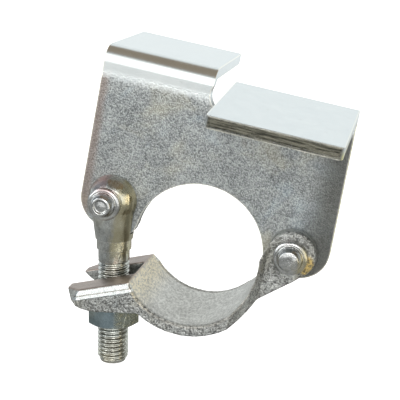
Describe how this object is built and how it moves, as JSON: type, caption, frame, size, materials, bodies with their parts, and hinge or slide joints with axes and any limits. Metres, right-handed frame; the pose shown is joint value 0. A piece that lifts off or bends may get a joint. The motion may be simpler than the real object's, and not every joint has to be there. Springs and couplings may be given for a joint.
{
  "type": "board retaining scaffold coupler",
  "caption": "Pressed steel clamp that grips a scaffold tube with a hinged jaw and a swing bolt, and holds boards down under two bent flanges.",
  "frame": {"origin": "on the axis of the tube that the clamp holds, in the middle of the plate's thickness", "axes": "+Z from the tube up to the board flanges, +Y along the tube towards the rear flange, +X across the plate towards the jaw's hinge"},
  "size_m": [0.095, 0.093, 0.121],
  "materials": {
    "plate_zinc": "bright zinc plate over pressed steel",
    "jaw_zinc": "bright zinc plate over forged steel",
    "fastener_zinc": "bright zinc plate over turned steel"
  },
  "bodies": {
    "plate": {"body_plate": "plate_zinc", "hinge_rivet": "fastener_zinc", "bolt_rivet": "fastener_zinc"},
    "jaw": {"jaw": "jaw_zinc"},
    "bolt": {"fork_bolt": "fastener_zinc"},
    "nut": {"hex_nut": "fastener_zinc"}
  },
  "joints": [
    {"name": "bolt_swing", "type": "hinge", "parent": "plate", "child": "bolt", "pos_m": [-0.0363, 0, 0.0096], "axis": [0, 1, 0], "range_deg": [0, 100]},
    {"name": "nut_travel", "type": "slide", "parent": "bolt", "child": "nut", "axis": [0.1564, 0, -0.9877], "range_m": [-0.003, 0.014]},
    {"name": "jaw_hinge", "type": "hinge", "parent": "plate", "child": "jaw", "pos_m": [0.0345, 0, 0.008], "axis": [0, -1, 0], "range_deg": [-2.5, 11.5]}
  ],
  "couplings": [
    {"joint": "jaw_hinge", "follows": "nut_travel", "rad_per_m": 14.3}
  ]
}
